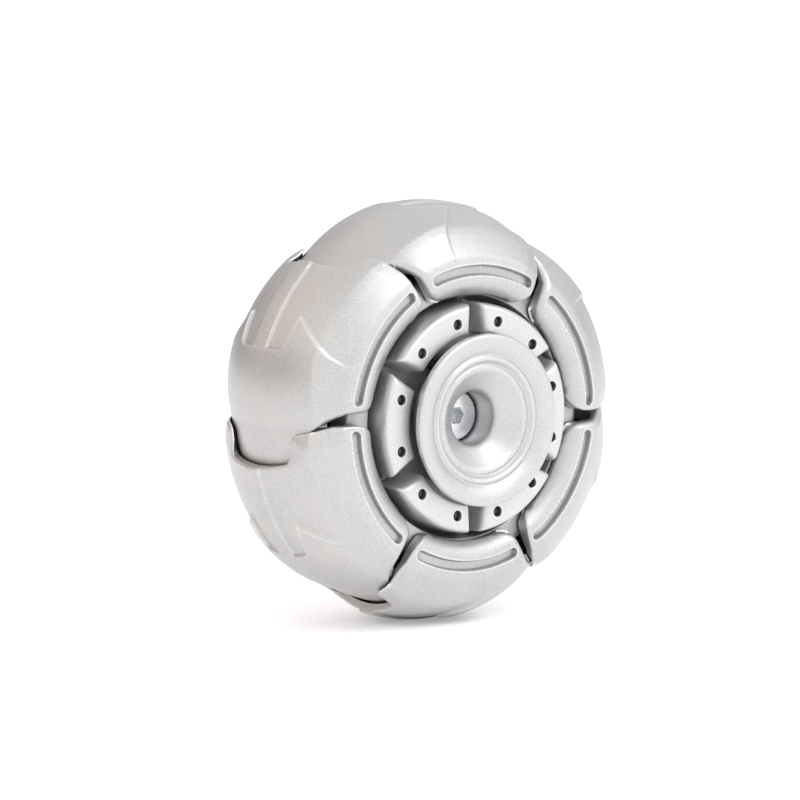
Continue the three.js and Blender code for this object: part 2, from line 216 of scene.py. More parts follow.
def finish_piece(item, body, nodes, material, sharp):
    """Gives a piece its shading, material, body and the CAD nodes that it stands for.

    Edges that turn by more than sharp degrees stay sharp.
    """
    item.data.materials.clear()
    item.data.materials.append(material)
    item.data.shade_smooth()
    item.data.set_sharp_from_angle(angle=math.radians(sharp))
    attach(item, body)
    if nodes:
        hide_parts(*nodes)


# ---- materials ----------------------------------------------------------------------------


class Nodes:
    """Short calls for building a node tree: a new material's, or the one given."""

    def __init__(self, name=None, tree=None):
        if tree is None:
            self.material = bpy.data.materials.new(name)
            self.material.use_nodes = True
            tree = self.material.node_tree
            self.shader = tree.nodes["Principled BSDF"]
        self.tree = tree
        self.place = tree.nodes.new("ShaderNodeTexCoord").outputs["Object"]

    def link(self, source, target):
        self.tree.links.new(source, target)

    def noise(self, size, detail=2.0, rough=0.5):
        """Noise whose features are about size millimetres across."""
        node = self.tree.nodes.new("ShaderNodeTexNoise")
        node.inputs["Scale"].default_value = 1 / (size * MM)
        node.inputs["Detail"].default_value = detail
        node.inputs["Roughness"].default_value = rough
        self.link(self.place, node.inputs["Vector"])
        return node.outputs["Fac"]

    def spread(self, source, low, high, to_low=0.0, to_high=1.0):
        node = self.tree.nodes.new("ShaderNodeMapRange")
        node.inputs["From Min"].default_value = low
        node.inputs["From Max"].default_value = high
        node.inputs["To Min"].default_value = to_low
        node.inputs["To Max"].default_value = to_high
        self.link(source, node.inputs["Value"])
        return node.outputs["Result"]

    def math(self, operation, a, b):
        node = self.tree.nodes.new("ShaderNodeMath")
        node.operation = operation
        for socket, value in zip(node.inputs, (a, b)):
            if isinstance(value, (int, float)):
                socket.default_value = value
            else:
                self.link(value, socket)
        return node.outputs["Value"]

    def mix(self, factor, a, b):
        """Colour a where the factor is 0, and b where it is 1."""
        node = self.tree.nodes.new("ShaderNodeMix")
        node.data_type = "RGBA"
        for socket, value in ((node.inputs[0], factor), (node.inputs[6], a), (node.inputs[7], b)):
            if isinstance(value, (int, float, tuple)):
                socket.default_value = value
            else:
                self.link(value, socket)
        return node.outputs[2]

    def bump(self, height, strength, depth, under=None):
        """Bump of about depth millimetres, over another bump if one is given."""
        node = self.tree.nodes.new("ShaderNodeBump")
        node.inputs["Strength"].default_value = strength
        node.inputs["Distance"].default_value = depth * MM
        self.link(height, node.inputs["Height"])
        if under is not None:
            self.link(under, node.inputs["Normal"])
        return node.outputs["Normal"]

    def openness(self, reach, inside=False):
        """1 on open surface, less in crevices up to reach millimetres wide.

        With inside set, less on outer edges instead.
        """
        node = self.tree.nodes.new("ShaderNodeAmbientOcclusion")
        node.samples = 6
        node.inside = inside
        node.only_local = inside
        node.inputs["Distance"].default_value = reach * MM
        return node.outputs["AO"]

    def radius(self):
        """Distance from the wheel's axis."""
        split = self.tree.nodes.new("ShaderNodeSeparateXYZ")
        self.link(self.place, split.inputs["Vector"])
        squares = [self.math("MULTIPLY", split.outputs[k], split.outputs[k]) for k in ("X", "Z")]
        return self.math("SQRT", self.math("ADD", *squares), 0.0)

    def rings(self, pitch):
        """Waves round the wheel's axis, pitch millimetres apart."""
        turns = self.math("MULTIPLY", self.radius(), 2 * math.pi / (pitch * MM))
        return self.math("SINE", turns, 0.0)


GRAIN = 0.16
TURNING_PITCH = 0.24
GRINDING_PITCH = 0.12
WARM_TINT = (0.99, 0.955, 0.925)
WORN_METAL = (0.84, 0.84, 0.835, 1.0)
# dark grey painted into crevices and gaps as shade
CREVICE_PAINTED_SHADE = (0.1, 0.105, 0.11, 1.0)


def silver(name, light, dark, rough, turned_lines=False):
    """Satin silver coat on blasted metal: fine sparkling grain, worn edges, and painted shade that
    turns crevices dark grey.
    """
    n = Nodes(name)
    n.shader.inputs["Metallic"].default_value = 0.65
    grain = n.noise(GRAIN, 3.0, 0.7)
    cloud = n.noise(7.0, 3.0)
    colour = n.mix(n.spread(grain, 0.33, 0.67), dark, light)
    warm = tuple(c * k for c, k in zip(light[:3], WARM_TINT)) + (1.0,)
    colour = n.mix(n.spread(cloud, 0.4, 0.7, 0.0, 0.4), colour, warm)
    edge = n.spread(n.openness(0.25, inside=True), 0.95, 0.6)
    # painted shade: surfaces in crevices, gaps and recesses up to 1.8 mm wide go towards dark grey
    shade = n.spread(n.openness(1.8), 0.12, 0.68)
    colour = n.mix(n.math("MULTIPLY", edge, shade), colour, WORN_METAL)
    colour = n.mix(shade, CREVICE_PAINTED_SHADE, colour)
    n.link(colour, n.shader.inputs["Base Color"])
    sparkle = n.spread(n.noise(GRAIN, 2.0, 0.6), 0.3, 0.7, rough - 0.07, rough + 0.07)
    polished = n.math("MULTIPLY", edge, 0.08)
    n.link(n.math("SUBTRACT", sparkle, polished), n.shader.inputs["Roughness"])
    normal = n.bump(grain, 0.5, 0.03)
    normal = n.bump(n.noise(0.45, 2.0), 0.3, 0.015, normal)
    if turned_lines:
        normal = n.bump(n.rings(TURNING_PITCH), 0.15, 0.003, normal)
    n.link(normal, n.shader.inputs["Normal"])
    return n.material


def steel(name, colour, rough, turned_lines=True):
    """Ground steel, plated or oxide-black: faint blotches, a little grain, fine grinding lines."""
    n = Nodes(name)
    n.shader.inputs["Metallic"].default_value = 1.0
    cloud = n.noise(1.2, 4.0)
    darker = tuple(c * 0.85 for c in colour[:3]) + (1.0,)
    n.link(n.mix(n.spread(cloud, 0.3, 0.7), darker, colour), n.shader.inputs["Base Color"])
    n.link(n.spread(cloud, 0.3, 0.7, rough + 0.08, rough - 0.05), n.shader.inputs["Roughness"])
    normal = n.bump(n.noise(0.09, 2.0), 0.3, 0.006)
    if turned_lines:
        normal = n.bump(n.rings(GRINDING_PITCH), 0.3, 0.002, normal)
    n.link(normal, n.shader.inputs["Normal"])
    return n.material


SILVER = silver("satin_silver", (0.575, 0.574, 0.572, 1.0), (0.40, 0.40, 0.399, 1.0), 0.36)
# a lighter copy of the satin silver, painted light for the bridges, whose faces the button's rim
# shades
BRIDGE_SILVER_PAINTED_LIGHT = silver("bridge_silver_painted_light", (0.67, 0.673, 0.672, 1.0), (0.5, 0.502, 0.501, 1.0), 0.36)
TURNED = silver("turned_silver", (0.585, 0.593, 0.598, 1.0), (0.45, 0.455, 0.459, 1.0), 0.34, True)
STEEL = steel("bearing_steel", (0.76, 0.77, 0.79, 1.0), 0.26)
BLACK = steel("dark_pin", (0.085, 0.088, 0.095, 1.0), 0.42, False)
NICKEL = steel("magnet_nickel", (0.58, 0.57, 0.55, 1.0), 0.22)


# ---- hub ----------------------------------------------------------------------------------


def button_outline():
    """A button's section: bore, cone, two ridges, round rim, thin edge, neck, stem and seat."""
    bore, hole, neck, stem = 3.1, 1.7, 7.9, 4.0
    under_rim, neck_end, shelf, inner_end = 12.15, 9.3, 5.2, 2.68
    return soften([
        (bore, 9.4, 0.3), (bore, 10.4, 0.8), (5.05, 11.95, 0.35), (5.75, 12.5, 0.35),
        (6.15, 12.62, 0.2), (6.5, 12.42, 0.18), (6.95, 12.98, 0.28), (7.3, 13.0, 0.2),
        (7.6, 12.72, 0.2), (8.15, 13.15, 0.5), (9.2, 13.5, 0.6), (10.06, 13.35, 0.75),
        (10.06, 12.45, 0.3), (9.5, under_rim, 0.2), (neck, under_rim, 0.2), (neck, neck_end, 0.2),
        (stem, neck_end, 0.3), (stem, inner_end, 0.15), (hole, inner_end, 0.1),
        (hole, shelf, 0.1), (bore, shelf, 0.1),
    ], 8)


def add_button(side, flip):
    points, faces = turned(button_outline(), 192)
    item = make_object(f"{side}_button_turned", flip(points), faces)
    finish_piece(item, "hub", [f"{side}_button"], TURNED, 40)


def hex_cutter(name, reach, low, high, centre=(0.0, 0.0)):
    """A hexagonal bar along Y whose corners are at reach from its middle line."""
    angles = np.arange(6) * math.pi / 3
    loop = np.array([(reach * math.cos(a), reach * math.sin(a)) for a in angles]) + centre
    return make_object(name, *lofted([at_depth(loop, y) for y in (low, high)]))


def add_axle_screw(side, flip):
    top, under_head, tip = 7.25, 5.5, 0.4
    head_radius, shank = 3.02, 1.3
    socket_reach, socket_depth = 1.1, 1.9
    outline = soften([
        (0, top, 0), (2.85, top, 0.2), (head_radius, top - 0.25, 0.12),
        (head_radius, under_head, 0.1), (shank, under_head, 0.15), (shank, 0.6, 0.1),
        (1.1, tip, 0.1), (0, tip, 0),
    ])
    points, faces = turned(outline, 96)
    item = make_object(f"{side}_socket_screw", points, faces)
    socket = hex_cutter("socket", socket_reach, top - socket_depth, top + 1)
    combine(item, socket, "DIFFERENCE")
    if flip is mirror:
        item.data.transform(Matrix.Rotation(math.pi, 4, "X"))
    finish_piece(item, "hub", [f"{side}_axle_screw"], STEEL, 30)


def add_ring(name, outline, body, node, material):
    points, faces = turned(soften(outline, 4), 128)
    item = make_object(name, points, faces)
    finish_piece(item, body, [node], material, 35)


def race_outline(seat, land, floor):
    """A race's section: its seated side, and its land with the groove that the balls run in."""
    half, shoulder, chamfer = BEARING_HALF, 0.85, 0.25
    flank, flank_y = land * 0.45 + floor * 0.55, 0.5
    return [
        (seat, -half, chamfer), (land, -half, 0.08), (land, -shoulder, 0.05),
        (flank, -flank_y, 0.3), (floor, 0, 0.4), (flank, flank_y, 0.3),
        (land, shoulder, 0.05), (land, half, 0.08), (seat, half, chamfer),
    ]


def add_hub():
    for side, flip in (("front", mirror), ("rear", np.asarray)):
        add_button(side, flip)
        add_axle_screw(side, flip)
    half, bore, outside = BEARING_HALF, 1.6, 2.97
    sleeve = [(bore, -half, 0.1), (outside, -half, 0.15), (outside, half, 0.15), (bore, half, 0.1)]
    add_ring("axle_spacer", sleeve, "hub", "axle_sleeve", STEEL)
    race = race_outline(3.175, 4.15, 3.92)
    add_ring("inner_race_ground", race, "hub", "bearing_inner_race", STEEL)


# ---- bearing ------------------------------------------------------------------------------


def add_bearing():
    race = race_outline(6.35, 5.35, 5.58)
    add_ring("outer_race_ground", race, "wheel", "bearing_outer_race", STEEL)
    for side, sign in (("front", -1), ("rear", 1)):
        shield = [(4.35, sign * 1.9, 0.05), (5.2, sign * 1.9, 0.05), (5.2, sign * 2.1, 0.05),
                  (4.5, sign * 2.1, 0.1), (4.35, sign * 2.0, 0.05)]
        name = f"{side}_shield_pressed"
        add_ring(name, shield, "wheel", f"{side}_shield", STEEL)
    ball_circle, ball_radius, ball_play = 4.75, 0.62, 0.05
    inside, outside, half = ball_circle - 0.25, ball_circle + 0.25, 0.85
    points, faces = turned(soften([
        (inside, -half, 0.1), (outside, -half, 0.1), (outside, half, 0.1), (inside, half, 0.1),
    ], 3), 96)
    cage = make_object("cage_ring", points, faces)
    for k in range(BALLS):
        x, z = flat_spot(ball_circle, 360 * k / BALLS)
        ball = make_ball("ball_tool", ball_radius + ball_play, (x, 0, z))
        combine(cage, ball, "DIFFERENCE")
        shown = make_ball(f"bearing_ball_{k + 1}", ball_radius, (x, 0, z))
        finish_piece(shown, "cage", [], STEEL, 180)
    finish_piece(cage, "cage", ["bearing_cage"], STEEL, 30)


def make_ball(name, radius, centre):
    mesh = bpy.data.meshes.new(name)
    work = bmesh.new()
    place = Matrix.Translation(Vector(centre) * MM)
    bmesh.ops.create_icosphere(work, subdivisions=4, radius=radius * MM, matrix=place)
    work.to_mesh(mesh)
    work.free()
    return place_data(name, mesh)


# ---- wheel body ---------------------------------------------------------------------------


def pin_spot(seam, side):
    """x and z of a pin: side is 1 after the seam and -1 before it."""
    return flat_spot(PIN_CIRCLE, seam * PITCH + side * PIN_OFFSET)


def screw_spot(k, sign):
    """x and z of a frame screw: sign is that of its y."""
    return flat_spot(SCREW_CIRCLE, 360 * k / SCREWS_PER_SIDE + (60 if sign > 0 else 0))


def rod(name, centre, radius, low, high, segments=40, edge=0.08):
    """A round bar along Y with broken edges."""
    outline = soften([(0, low, 0), (radius, low, edge), (radius, high, edge), (0, high, 0)], 3)
    return make_object(name, *turned(outline, segments, centre))


def add_frame(side, sign):
    """A side plate with its rim ring, drilled for the pins and the frame screws."""
    outline = soften([
        (6.2, FRAME_BACK, 0.2), (6.2, FRAME_FACE, 0.2), (13.75, FRAME_FACE, 0.55),
        (14.25, RIM_FACE, 0.2), (16.3, RIM_FACE, 0.5), (17.0, RIM_FACE - 0.55, 0.4),
        (17.0, FRAME_BACK, 0.3),
    ], 5)
    outline[:, 1] *= sign
    item = make_object(f"{side}_frame_plate", *turned(outline, 192))
    holes = [(pin_spot(seam, way), PIN_HOLE) for seam in range(SHELLS) for way in (-1, 1)]
    holes += [(screw_spot(k, sign), SCREW_HOLE) for k in range(SCREWS_PER_SIDE)]
    low, high = sorted((sign * (FRAME_BACK - 1), sign * (FRAME_FACE + 1)))
    for spot, radius in holes:
        combine(item, rod("drill", spot, radius, low, high, 24), "DIFFERENCE")
    finish_piece(item, "wheel", [f"{side}_frame"], SILVER, 34)


def add_frame_screw(side, sign, k):
    top, foot, tip = FRAME_FACE + 1.0, FRAME_FACE + 0.1, FRAME_BACK - 1.5
    head, shank, socket_reach, socket_depth = 0.85, 0.45, 0.42, 0.45
    outline = soften([
        (0, top, 0), (head, top, 0.2), (head, foot, 0.08), (shank, foot, 0.05), (shank, tip, 0.1),
        (0, tip, 0),
    ], 4)
    outline[:, 1] *= sign
    spot = screw_spot(k, sign)
    item = make_object(f"{side}_socket_cap_{k + 1}", *turned(outline, 48, spot))
    low, high = sorted((sign * (top - socket_depth), sign * (top + 1)))
    combine(item, hex_cutter("socket", socket_reach, low, high, spot), "DIFFERENCE")
    finish_piece(item, "wheel", [f"{side}_frame_screw_{k + 1}"], BLACK, 30)


def bridge_loop(y, inset, spread):
    """A bridge's outline at one depth: an arc block, smaller by inset, larger towards its foot."""
    out, round_inner, round_outer = (growth * spread for growth in BRIDGE_FLARE)
    inner = BRIDGE_INNER + inset
    outer = BRIDGE_OUTER + out - inset
    inner_half = BRIDGE_INNER_HALF + round_inner - math.degrees(inset / inner)
    outer_half = BRIDGE_OUTER_HALF + round_outer - math.degrees(inset / outer)
    sweep = np.linspace(-1, 1, 13)
    corners = []
    for radius, half, shares, cut in (
            (outer, outer_half, sweep, 0.32), (inner, inner_half, sweep[::-1], 0.22)):
        for share in shares:
            corners.append((*flat_spot(radius, half * share), cut if abs(share) == 1 else 0))
    return at_depth(soften(corners, 5), y)


def bridge_mesh():
    """One bridge at the first seam, on the rear side, with its two countersunk pin holes."""
    height = BRIDGE_FACE - BRIDGE_BASE
    levels = [(BRIDGE_BASE + height * share, 0.0) for share in (
        0, 0.05, 0.1, 0.16, 0.24, 0.34, 0.48, 0.65, 0.72, 0.79, 0.86)]
    edge, edge_steps = 0.3, 5
    for k in range(edge_steps + 1):
        angle = math.radians(90 * k / edge_steps)
        levels.append((BRIDGE_FACE - edge * (1 - math.sin(angle)), edge * (1 - math.cos(angle))))
    loops = []
    for y, inset in levels:
        fall = (BRIDGE_FACE - y) / height
        rounded_off = 1 - (1 - min(fall / 0.35, 1)) ** 2
        loops.append(bridge_loop(y, inset, 0.5 * rounded_off + 0.5 * fall ** 4))
    item = make_object("bridge_blank", *lofted(loops))
    low, high, mouth = BRIDGE_BASE - 1, BRIDGE_FACE + 1, PIN_HOLE + 0.12
    for side in (-1, 1):
        outline = soften([
            (0, low, 0), (PIN_HOLE, low, 0), (PIN_HOLE, BRIDGE_FACE - 0.08, 0.05),
            (mouth, BRIDGE_FACE + 0.04, 0), (mouth, high, 0), (0, high, 0),
        ], 3)
        combine(item, make_object("drill", *turned(outline, 40, pin_spot(0, side))), "DIFFERENCE")
    mesh = item.data
    bpy.data.objects.remove(item)
    return mesh


def turn_mesh(mesh, degrees, flipped=False):
    """A copy of a mesh turned round the wheel's axis, and over to the other side if flipped."""
    copy = mesh.copy()
    if flipped:
        copy.transform(Matrix.Rotation(math.pi, 4, "X"))
    copy.transform(Matrix.Rotation(-math.radians(degrees), 4, "Y"))
    return copy


def add_wheel_body():
    end = FRAME_BACK - 0.3
    add_ring("carrier_turned", [
        (6.55, -end, 0.15), (8.3, -end, 0.15), (8.3, -3.4, 0.1), (7.1, -3.4, 0.1), (7.1, 3.4, 0.1),
        (8.3, 3.4, 0.1), (8.3, end, 0.15), (6.55, end, 0.15),
    ], "wheel", "carrier", SILVER)
    add_ring("magnet_ring_plated", [
        (7.35, -3.1, 0.15), (8.2, -3.1, 0.15), (8.2, 3.1, 0.15), (7.35, 3.1, 0.15),
    ], "wheel", "magnet_ring", NICKEL)
    for side, sign in (("front", -1), ("rear", 1)):
        add_frame(side, sign)
        for k in range(SCREWS_PER_SIDE):
            add_frame_screw(side, sign, k)
    bridge = bridge_mesh()
    pin_end = BRIDGE_FACE - 0.5
    for seam in range(SHELLS):
        for side, flipped in (("front", True), ("rear", False)):
            mesh = turn_mesh(bridge, seam * PITCH, flipped)
            item = place_data(f"{side}_bridge_cast_{seam + 1}", mesh)
            # the bridges take the lighter silver: painted light on faces that lie in the button's
            # shade
            finish_piece(item, "wheel", [f"{side}_bridge_{seam + 1}"], BRIDGE_SILVER_PAINTED_LIGHT, 34)
        for kind, spot in (("stop", pin_spot(seam, 1)), ("pivot", pin_spot(seam + 1, -1))):
            pin = rod(f"{kind}_dowel_{seam + 1}", spot, PIN_RADIUS, -pin_end, pin_end)
            finish_piece(pin, "wheel", [f"{kind}_pin_{seam + 1}"], BLACK, 35)


# ---- shells -------------------------------------------------------------------------------
# A shell's skin is laid out flat first: arc length round the wheel one way, and arc length across
# the section, from the tread's middle line, the other way. It is then bent round the wheel. The
# section's two halves are mirror images.

TREAD_HALF = 8.1  # |y| up to which the section follows the crown
FACE_SECTION = [  # radius, |y| and corner cut, from the tread's edge to the lip's inner edge
    (22.2, 8.2, 0), (21.4, 8.95, 0.35), (20.15, 9.9, 0.22), (18.9, 10.72, 0.22),
    (17.85, 10.95, 0.15), (16.7, 11.0, 0.15), (16.0, 10.98, 0.35), (15.2, 10.6, 0.4),
    (14.35, 9.72, 0.3), (14.35, 9.43, 0),
]
FACE_TURN = (21.3, 9.03)  # radius and |y| where the face turns into the tread
FLAT_RADIUS = 21.5  # radius at which the flat layout keeps true length round the wheel
MM_PER_DEGREE = math.pi * FLAT_RADIUS / 180


def section_table():
    """The section at even steps: arc length, radius, |y| and the outward normal's two parts."""
    y = np.linspace(0, TREAD_HALF, 82)
    tread = np.stack([TREAD_LOW - CROWN * y * y, y], axis=-1)
    line = np.concatenate([tread, soften(FACE_SECTION, 6, closed=False)])
    run = np.concatenate([[0], np.cumsum(np.linalg.norm(np.diff(line, axis=0), axis=1))])
    even = np.linspace(0, run[-1], 480)
    radius, depth = np.interp(even, run, line[:, 0]), np.interp(even, run, line[:, 1])
    along_r, along_y = np.gradient(radius), np.gradient(depth)
    length = np.hypot(along_r, along_y)
    return np.stack([even, radius, depth, along_y / length, -along_r / length])


SECTION = section_table()
LIP = SECTION[0, -1]  # the lip's inner edge, as a place across the section


def on_section(place):
    """Radius, |y| and outward normal at places across the section."""
    return [np.interp(np.abs(place), SECTION[0], row) for row in SECTION[1:]]


def across(radius, depth):
    """The place across the section that is nearest a radius and a |y|."""
    return SECTION[0, np.argmin(np.hypot(SECTION[1] - radius, SECTION[2] - depth))]


def on_tread(depth):
    return across(TREAD_LOW - CROWN * depth * depth, depth)


TREAD_EDGE = on_tread(FACE_SECTION[0][1])
RIB = 1.4  # half the width of the middle rib
RIB_HEIGHT = 0.28
RIB_RAMP = 0.16  # width of the rib's flank
STEP_RAMP = 0.32  # width of the flank between the low and the raised side
TAIL_FALL_CURVE = 1.8  # how late the tail falls: 1 is evenly
END_BAND = 2.0  # width of the worn slope at a horn's end
END_DROP = 0.36
HORN_ROUND = 0.3
TAIL_ROUND = 0.85  # edge rounding of the tail on the face; on the tread it is HORN_ROUND
TAIL_ROUND_BLEND = 1.5  # width over which the one becomes the other
LEAST_THICKNESS = (0.2, 0.1)  # between the sheets, along the radius and along y
GROOVE_RADIUS = 17.27
GROOVE_LINE = across(GROOVE_RADIUS, 10.97)  # the middle of the face groove
GROOVE_STRETCH = GROOVE_RADIUS / FLAT_RADIUS  # true length per layout length at the groove
GROOVE_HALF = 0.66
GROOVE_WALL = 0.24
GROOVE_DEPTH = 0.66
GROOVE_ENDS = (0.55, 0.9)  # from the horn's end and from the tail's end
INNER_SHEET = [  # on the face: a spot on the outer section, and the inner sheet's radius and |y|
    (FACE_TURN, 20.4, 8.1), ((20.15, 9.9), 19.6, 8.8), ((18.9, 10.72), 18.7, 9.25),
    ((17.5, 10.97), 17.4, 9.35), ((16.4, 11.0), 16.4, 9.35), ((15.3, 10.65), 15.2, 9.35),
    ((14.35, 9.43), 14.35, 9.35),
]


def flat_line(corners, step):
    """A line on the flat layout, mirrored over the middle, from (degrees, place, cut) corners."""
    half = soften([(u * MM_PER_DEGREE, place, cut) for u, place, cut in corners], 6, closed=False)
    line = np.concatenate([half[:0:-1] * (1, -1), half])
    run = np.concatenate([[0], np.cumsum(np.linalg.norm(np.diff(line, axis=0), axis=1))])
    even = np.linspace(0, run[-1], int(run[-1] / step) + 1)
    return np.stack([np.interp(even, run, line[:, k]) for k in (0, 1)], axis=-1)


def horn_line():
    """The end at the clockwise seam: the notch's floor, its wall, the horn and the lip's corner."""
    return flat_line([
        (11.5, 0, 0), (11.2, on_tread(3.0), 1.0), (10.2, on_tread(5.55), 0.8),
        (2.2, on_tread(5.95), 0.8), (1.2, on_tread(7.6), 0.6), (0.2, across(*FACE_TURN), 0.6),
        (-1.1, across(20.0, 10.0), 0.6), (-1.3, across(17.4, 10.97), 0.6),
        (-0.9, across(16.0, 10.98), 0.8), (1.4, across(14.8, 10.25), 0.8), (5.5, LIP, 0),
    ], 0.22)


def tail_line():
    """The other end: the tongue's tip and side, the step out to the face, and the lip's corner."""
    return flat_line([
        (TIP_ANGLE, 0, 0), (TIP_ANGLE, on_tread(5.5), 0.8), (63.0, on_tread(5.68), 0.3),
        (63.0, on_tread(7.2), 0.4), (60.0, TREAD_EDGE, 0.4), (58.4, across(*FACE_TURN), 0.5),
        (56.6, across(20.15, 9.9), 0.5), (55.0, across(18.9, 10.72), 0.5),
        (54.1, across(16.8, 11.0), 1.0), (53.2, across(14.9, 10.35), 1.2), (48.5, LIP, 0),
    ], 0.22)


def step_line():
    """Where the raised tail side begins: a tongue's floor and walls, then a slant outwards."""
    return flat_line([
        (39.0, 0, 0), (38.4, on_tread(3.9), 0.9), (28.0, on_tread(4.55), 0.12),
        (35.5, TREAD_EDGE, 0.3), (37.2, across(*FACE_TURN), 0.4), (38.5, across(19.8, 10.1), 0.4),
        (38.5, LIP, 0),
    ], 0.2)


def distance_to(line, places):
    """True distance from places on the flat layout to a line on it, in millimetres."""
    stretch = np.stack([on_section(places[:, 1])[0] / FLAT_RADIUS, np.ones(len(places))], axis=-1)
    best = np.full(len(places), np.inf)
    for start, end in zip(line[:-1], line[1:]):
        way = (end - start) * stretch
        gap = (places - start) * stretch
        share = np.clip((gap * way).sum(axis=1) / ((way * way).sum(axis=1) + 1e-12), 0, 1)
        best = np.minimum(best, np.hypot(*(gap - share[:, None] * way).T))
    return best


def line_at(line, place):
    """How far round the wheel a line is, at places across the section."""
    return np.interp(place, line[:, 1], line[:, 0])


def raised_radius(angle):
    """The tread's outer radius at the middle line, on the raised side of the step."""
    past = (angle - PITCH) / (TIP_ANGLE - PITCH)
    under = TREAD_TAIL + (TAIL_TIP - TREAD_TAIL) * past
    share = np.clip((angle - TAIL_FALL_FROM) / (PITCH - TAIL_FALL_FROM), 0, 1)
    falling = TREAD_HIGH + (TREAD_TAIL - TREAD_HIGH) * share ** TAIL_FALL_CURVE
    return np.where(angle > PITCH, under, falling)


def inner_radius(angle):
    """The inner sheet's radius at the middle line."""
    angles, radii = [1, 12.5, 17, 45, 60, TIP_ANGLE], [23.8, 23.55, 22.8, 22.5, 22.3, 22.2]
    return np.interp(angle, angles, radii)


def rounded(distance, radius):
    """How far a surface has sunk at a distance from an edge that is rounded to a radius."""
    inside = np.clip(radius - distance, 0, radius)
    return radius - np.sqrt(radius ** 2 - inside ** 2)


class Skin:
    """A shell's skin: its lines on the flat layout, and the way from there to its two sheets."""

    def __init__(self):
        self.horn, self.tail, self.step = horn_line(), tail_line(), step_line()
        around, place = self.horn.T
        on_end = (around < 6 * MM_PER_DEGREE) & (np.abs(place) < across(18.0, 10.9))
        self.end_lines = [self.horn[on_end & (place * side > 0)] for side in (-1, 1)]

    def edges(self, places):
        """True distances from the horn's end and from the tail's end."""
        return distance_to(self.horn, places), distance_to(self.tail, places)

    def follow(self, place):
        """The share of the tread's rise and fall that the section takes."""
        spots = (FACE_TURN, (20.15, 9.9), (18.9, 10.72), (17.6, 10.96))
        keys = [0, TREAD_EDGE] + [across(*spot) for spot in spots]
        return np.interp(np.abs(place), keys, [1, 1, 0.9, 0.5, 0.1, 0])

    def raised(self, places):
        """1 on the raised tail side, 0 on the low side, in between on the step."""
        side = np.where(places[:, 0] > line_at(self.step, places[:, 1]), 1, -1)
        return np.clip(side * distance_to(self.step, places) / STEP_RAMP + 0.5, 0, 1)

    def groove_span(self):
        """Where the groove's middle line starts and stops round the wheel."""
        from_horn, from_tail = ((gap + GROOVE_HALF) / GROOVE_STRETCH for gap in GROOVE_ENDS)
        low = line_at(self.horn, GROOVE_LINE) + from_horn
        return low, line_at(self.tail, GROOVE_LINE) - from_tail

    def to_groove(self, places):
        """True distance from the groove's middle line."""
        low, high = self.groove_span()
        along = places[:, 0] - np.clip(places[:, 0], low, high)
        return np.hypot(along * GROOVE_STRETCH, np.abs(places[:, 1]) - GROOVE_LINE)

    def groove(self, places):
        """How far the groove has cut the surface down."""
        return GROOVE_DEPTH * smooth_step((GROOVE_HALF - self.to_groove(places)) / GROOVE_WALL)

    def groove_places(self):
        """Places in loops beside the groove's edge, in step with one another."""
        low, high = self.groove_span()
        straight = np.linspace(low, high, 70)
        bends = np.radians(np.linspace(90, 270, 13)[1:-1])
        kept = []
        for inset in (-0.12, -0.05, 0, 0.04, 0.09, 0.14, 0.19, GROOVE_WALL, 0.3, 0.42):
            reach = GROOVE_HALF - inset
            for way in (-1, 1):
                kept += [(around, GROOVE_LINE + way * reach) for around in straight]
            for end, way in ((low, 1), (high, -1)):
                for a in bends:
                    around = end + way * reach * math.cos(a) / GROOVE_STRETCH
                    kept.append((around, GROOVE_LINE + reach * math.sin(a)))
        half = np.array(kept)
        return np.concatenate([half, half * (1, -1)])

    def outer(self, places):
        """The outer sheet's points."""
        angle, place = places[:, 0] / MM_PER_DEGREE, places[:, 1]
        radius, depth, normal_r, normal_y = on_section(place)
        to_horn, to_tail = self.edges(places)
        raised = self.raised(places)
        follow = self.follow(place)
        rib = RIB_HEIGHT * smooth_step((RIB + RIB_RAMP / 2 - depth) / RIB_RAMP)
        rise = rib * (1 - raised) + (raised_radius(angle) - TREAD_LOW) * raised
        to_end = np.minimum(*(distance_to(line, places) for line in self.end_lines))
        band = END_DROP * np.clip(1 - to_end / END_BAND, 0, 1)
        face_share = np.clip((np.abs(place) - TREAD_EDGE) / TAIL_ROUND_BLEND, 0, 1)
        tail_round = HORN_ROUND + (TAIL_ROUND - HORN_ROUND) * face_share
        sink = band + np.maximum(rounded(to_horn, HORN_ROUND), rounded(to_tail, tail_round))
        sink += self.groove(places)
        out_radius = radius + rise * follow - sink * normal_r
        out_depth = depth - sink * normal_y
        least_radius, least_depth = self.sheet(places) + np.array(LEAST_THICKNESS)[:, None]
        on_tread_side = np.abs(place) < across(*FACE_TURN) + 0.2
        on_face_side = np.abs(place) > TREAD_EDGE + 0.5
        out_radius = np.where(on_tread_side, np.maximum(out_radius, least_radius), out_radius)
        out_depth = np.where(on_face_side, np.maximum(out_depth, least_depth), out_depth)
        return polar(out_radius, angle, out_depth * -np.sign(place))

    def sheet(self, places):
        """The inner sheet's radius and |y|."""
        angle, place = places[:, 0] / MM_PER_DEGREE, np.abs(places[:, 1])
        depth = on_section(place)[1]
        keys = [across(*spot) for spot, _, _ in INNER_SHEET]
        face_r = np.interp(place, keys, [row[1] for row in INNER_SHEET])
        face_y = np.interp(place, keys, [row[2] for row in INNER_SHEET])
        tread_r = inner_radius(angle) - CROWN * depth ** 2
        share = np.clip((keys[0] - place) / (keys[0] - TREAD_EDGE), 0, 1)
        fall = np.minimum(0, raised_radius(angle) - TREAD_LOW)
        fall = fall * self.raised(places) * self.follow(place)
        blended_r = (face_r + fall) * (1 - share) + tread_r * share
        blended_y = face_y * (1 - share) + depth * share
        on_tread_side = place < TREAD_EDGE
        return np.array((
            np.where(on_tread_side, tread_r, blended_r), np.where(on_tread_side, depth, blended_y)))

